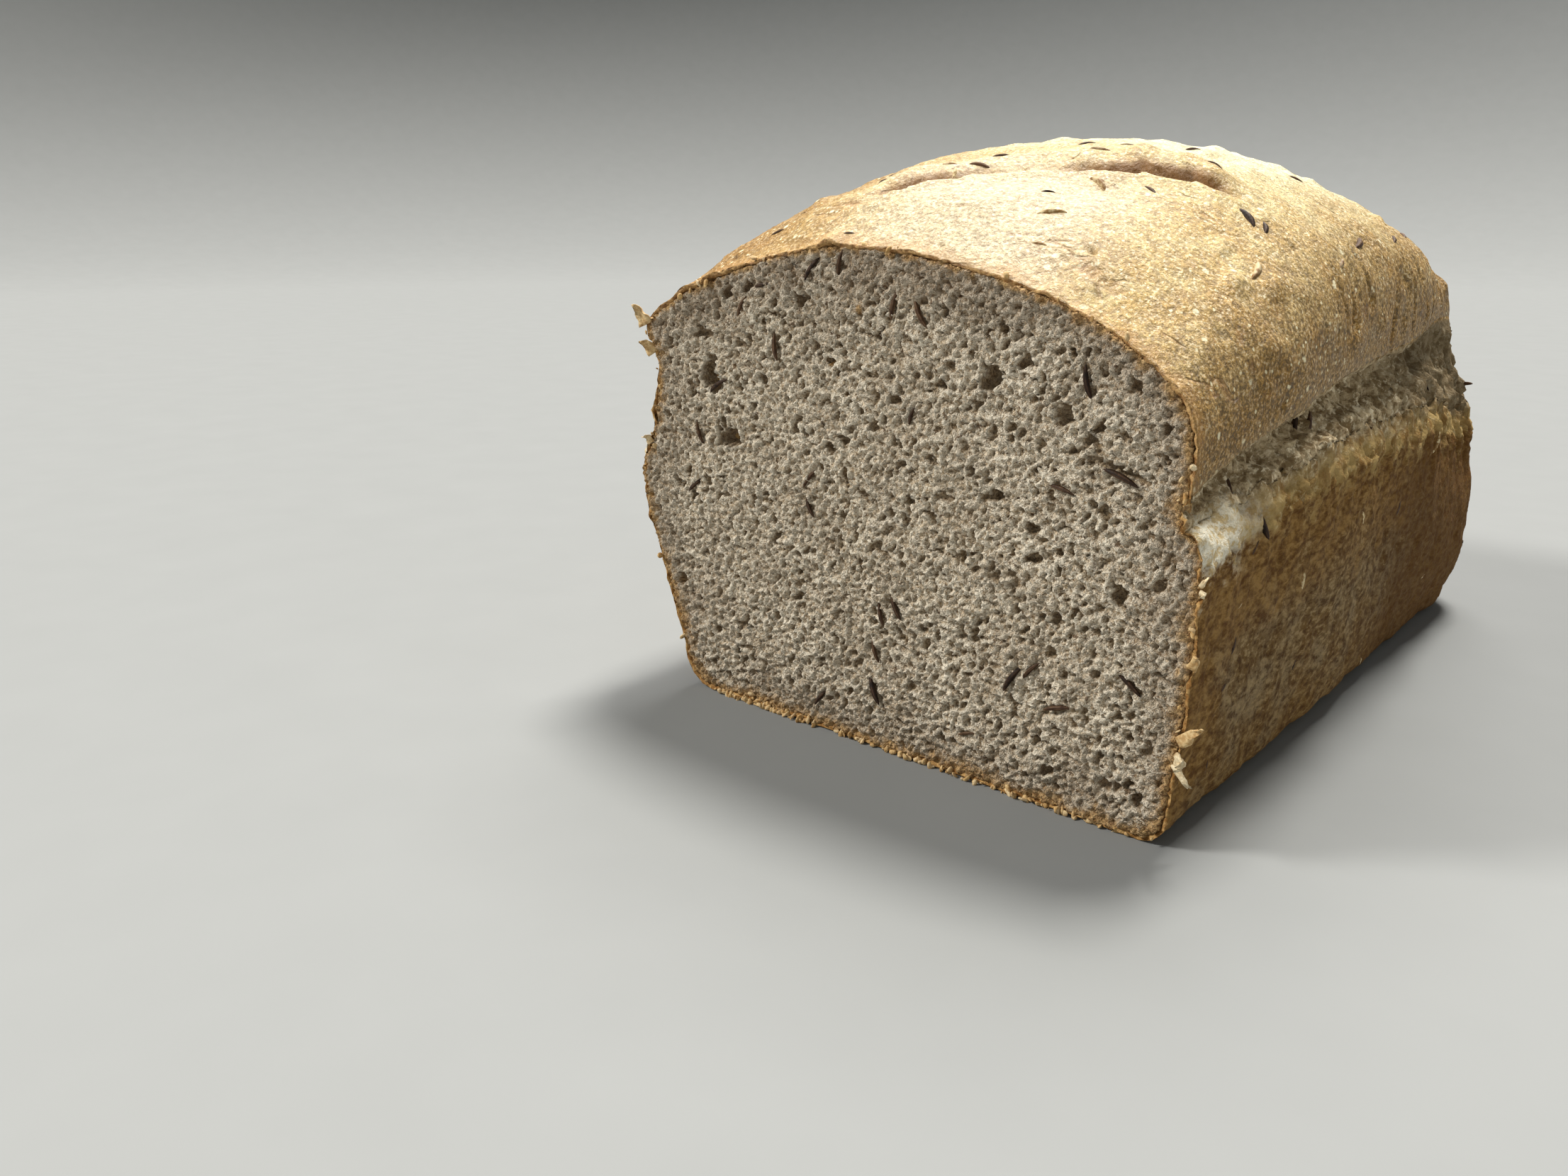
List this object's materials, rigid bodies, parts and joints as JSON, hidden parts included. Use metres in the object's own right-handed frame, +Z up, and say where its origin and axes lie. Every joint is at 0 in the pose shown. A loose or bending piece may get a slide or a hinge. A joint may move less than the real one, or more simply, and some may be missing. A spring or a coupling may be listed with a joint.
{
  "type": "rye bread loaf",
  "caption": "Tin-baked rye loaf with caraway seeds, cut open at one end: golden domed crust, torn band above the tin wall, open greyish crumb.",
  "frame": {"origin": "middle of the loaf's box in plan, on the flat base", "axes": "+Z up, +Y along the loaf away from the cut face, +X to the right when facing the cut face"},
  "size_m": [0.1188, 0.1764, 0.1033],
  "materials": {
    "crust": "matt baked crust, golden brown",
    "crumb": "matt open bread crumb, greyish tan",
    "seed": "dry ribbed caraway seed, dark brown"
  },
  "bodies": {
    "root": {"loaf": "crust"}
  },
  "joints": []
}
